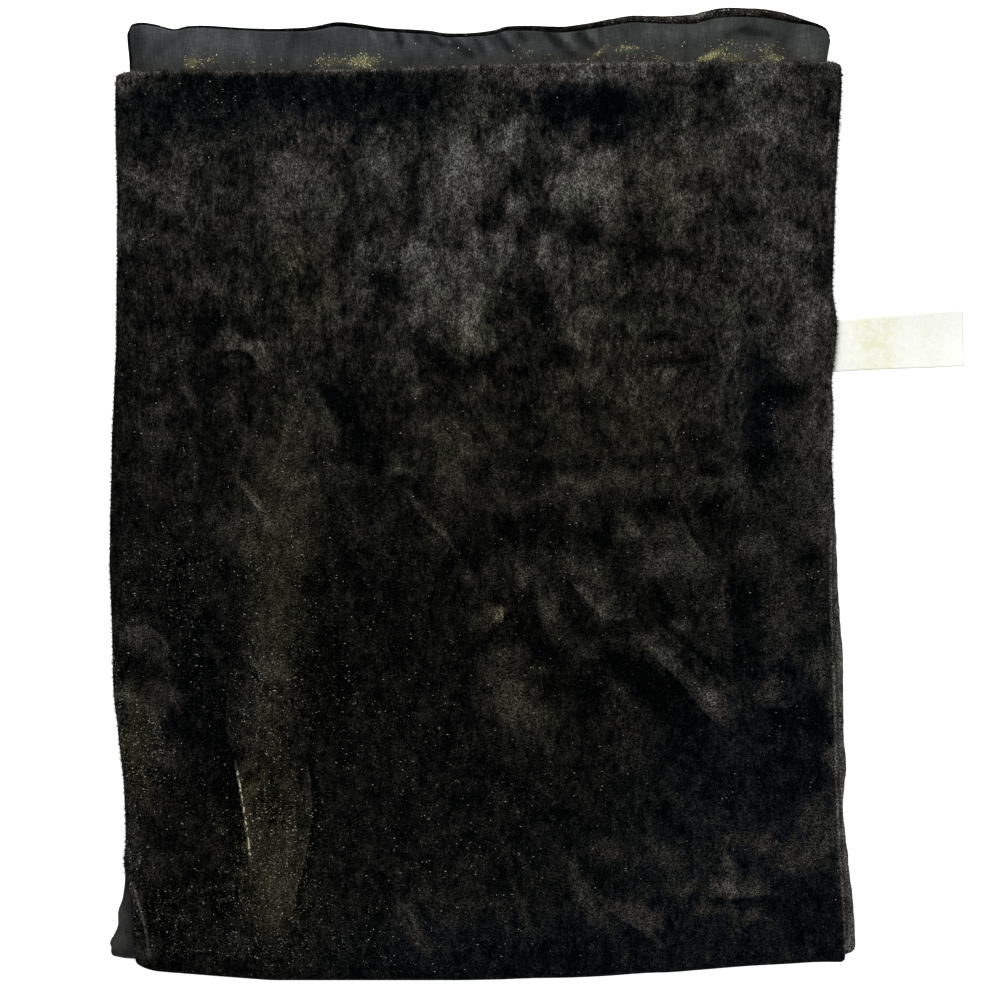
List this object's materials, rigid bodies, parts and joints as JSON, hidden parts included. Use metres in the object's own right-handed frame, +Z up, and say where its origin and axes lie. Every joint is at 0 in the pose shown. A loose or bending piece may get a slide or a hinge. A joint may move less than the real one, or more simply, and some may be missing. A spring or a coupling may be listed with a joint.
{
  "type": "folded evening stole",
  "caption": "Velvet evening stole with a satin lining, folded into a flat rectangle; its lined end and a bare woven label show past the top layer.",
  "frame": {"origin": "on the surface the stole lies on, under the middle of its bounding box", "axes": "+X across the stole, towards the side with the label; +Y along the folded panel, from the broad fold to the sewn ends; +Z up, away from the surface"},
  "size_m": [0.418, 0.4762, 0.0161],
  "materials": {
    "velvet": "black pile velvet shot with fine gold ground threads, crushed nap",
    "lining": "slate satin, softly lustrous",
    "label": "ivory woven ribbon"
  },
  "bodies": {
    "root": {"folded_layers": "velvet", "lining_end_layer": "lining", "velvet_end_roll": "velvet", "velvet_side_turn": "velvet", "velvet_top_layer": "velvet", "woven_label": "label"}
  },
  "joints": []
}
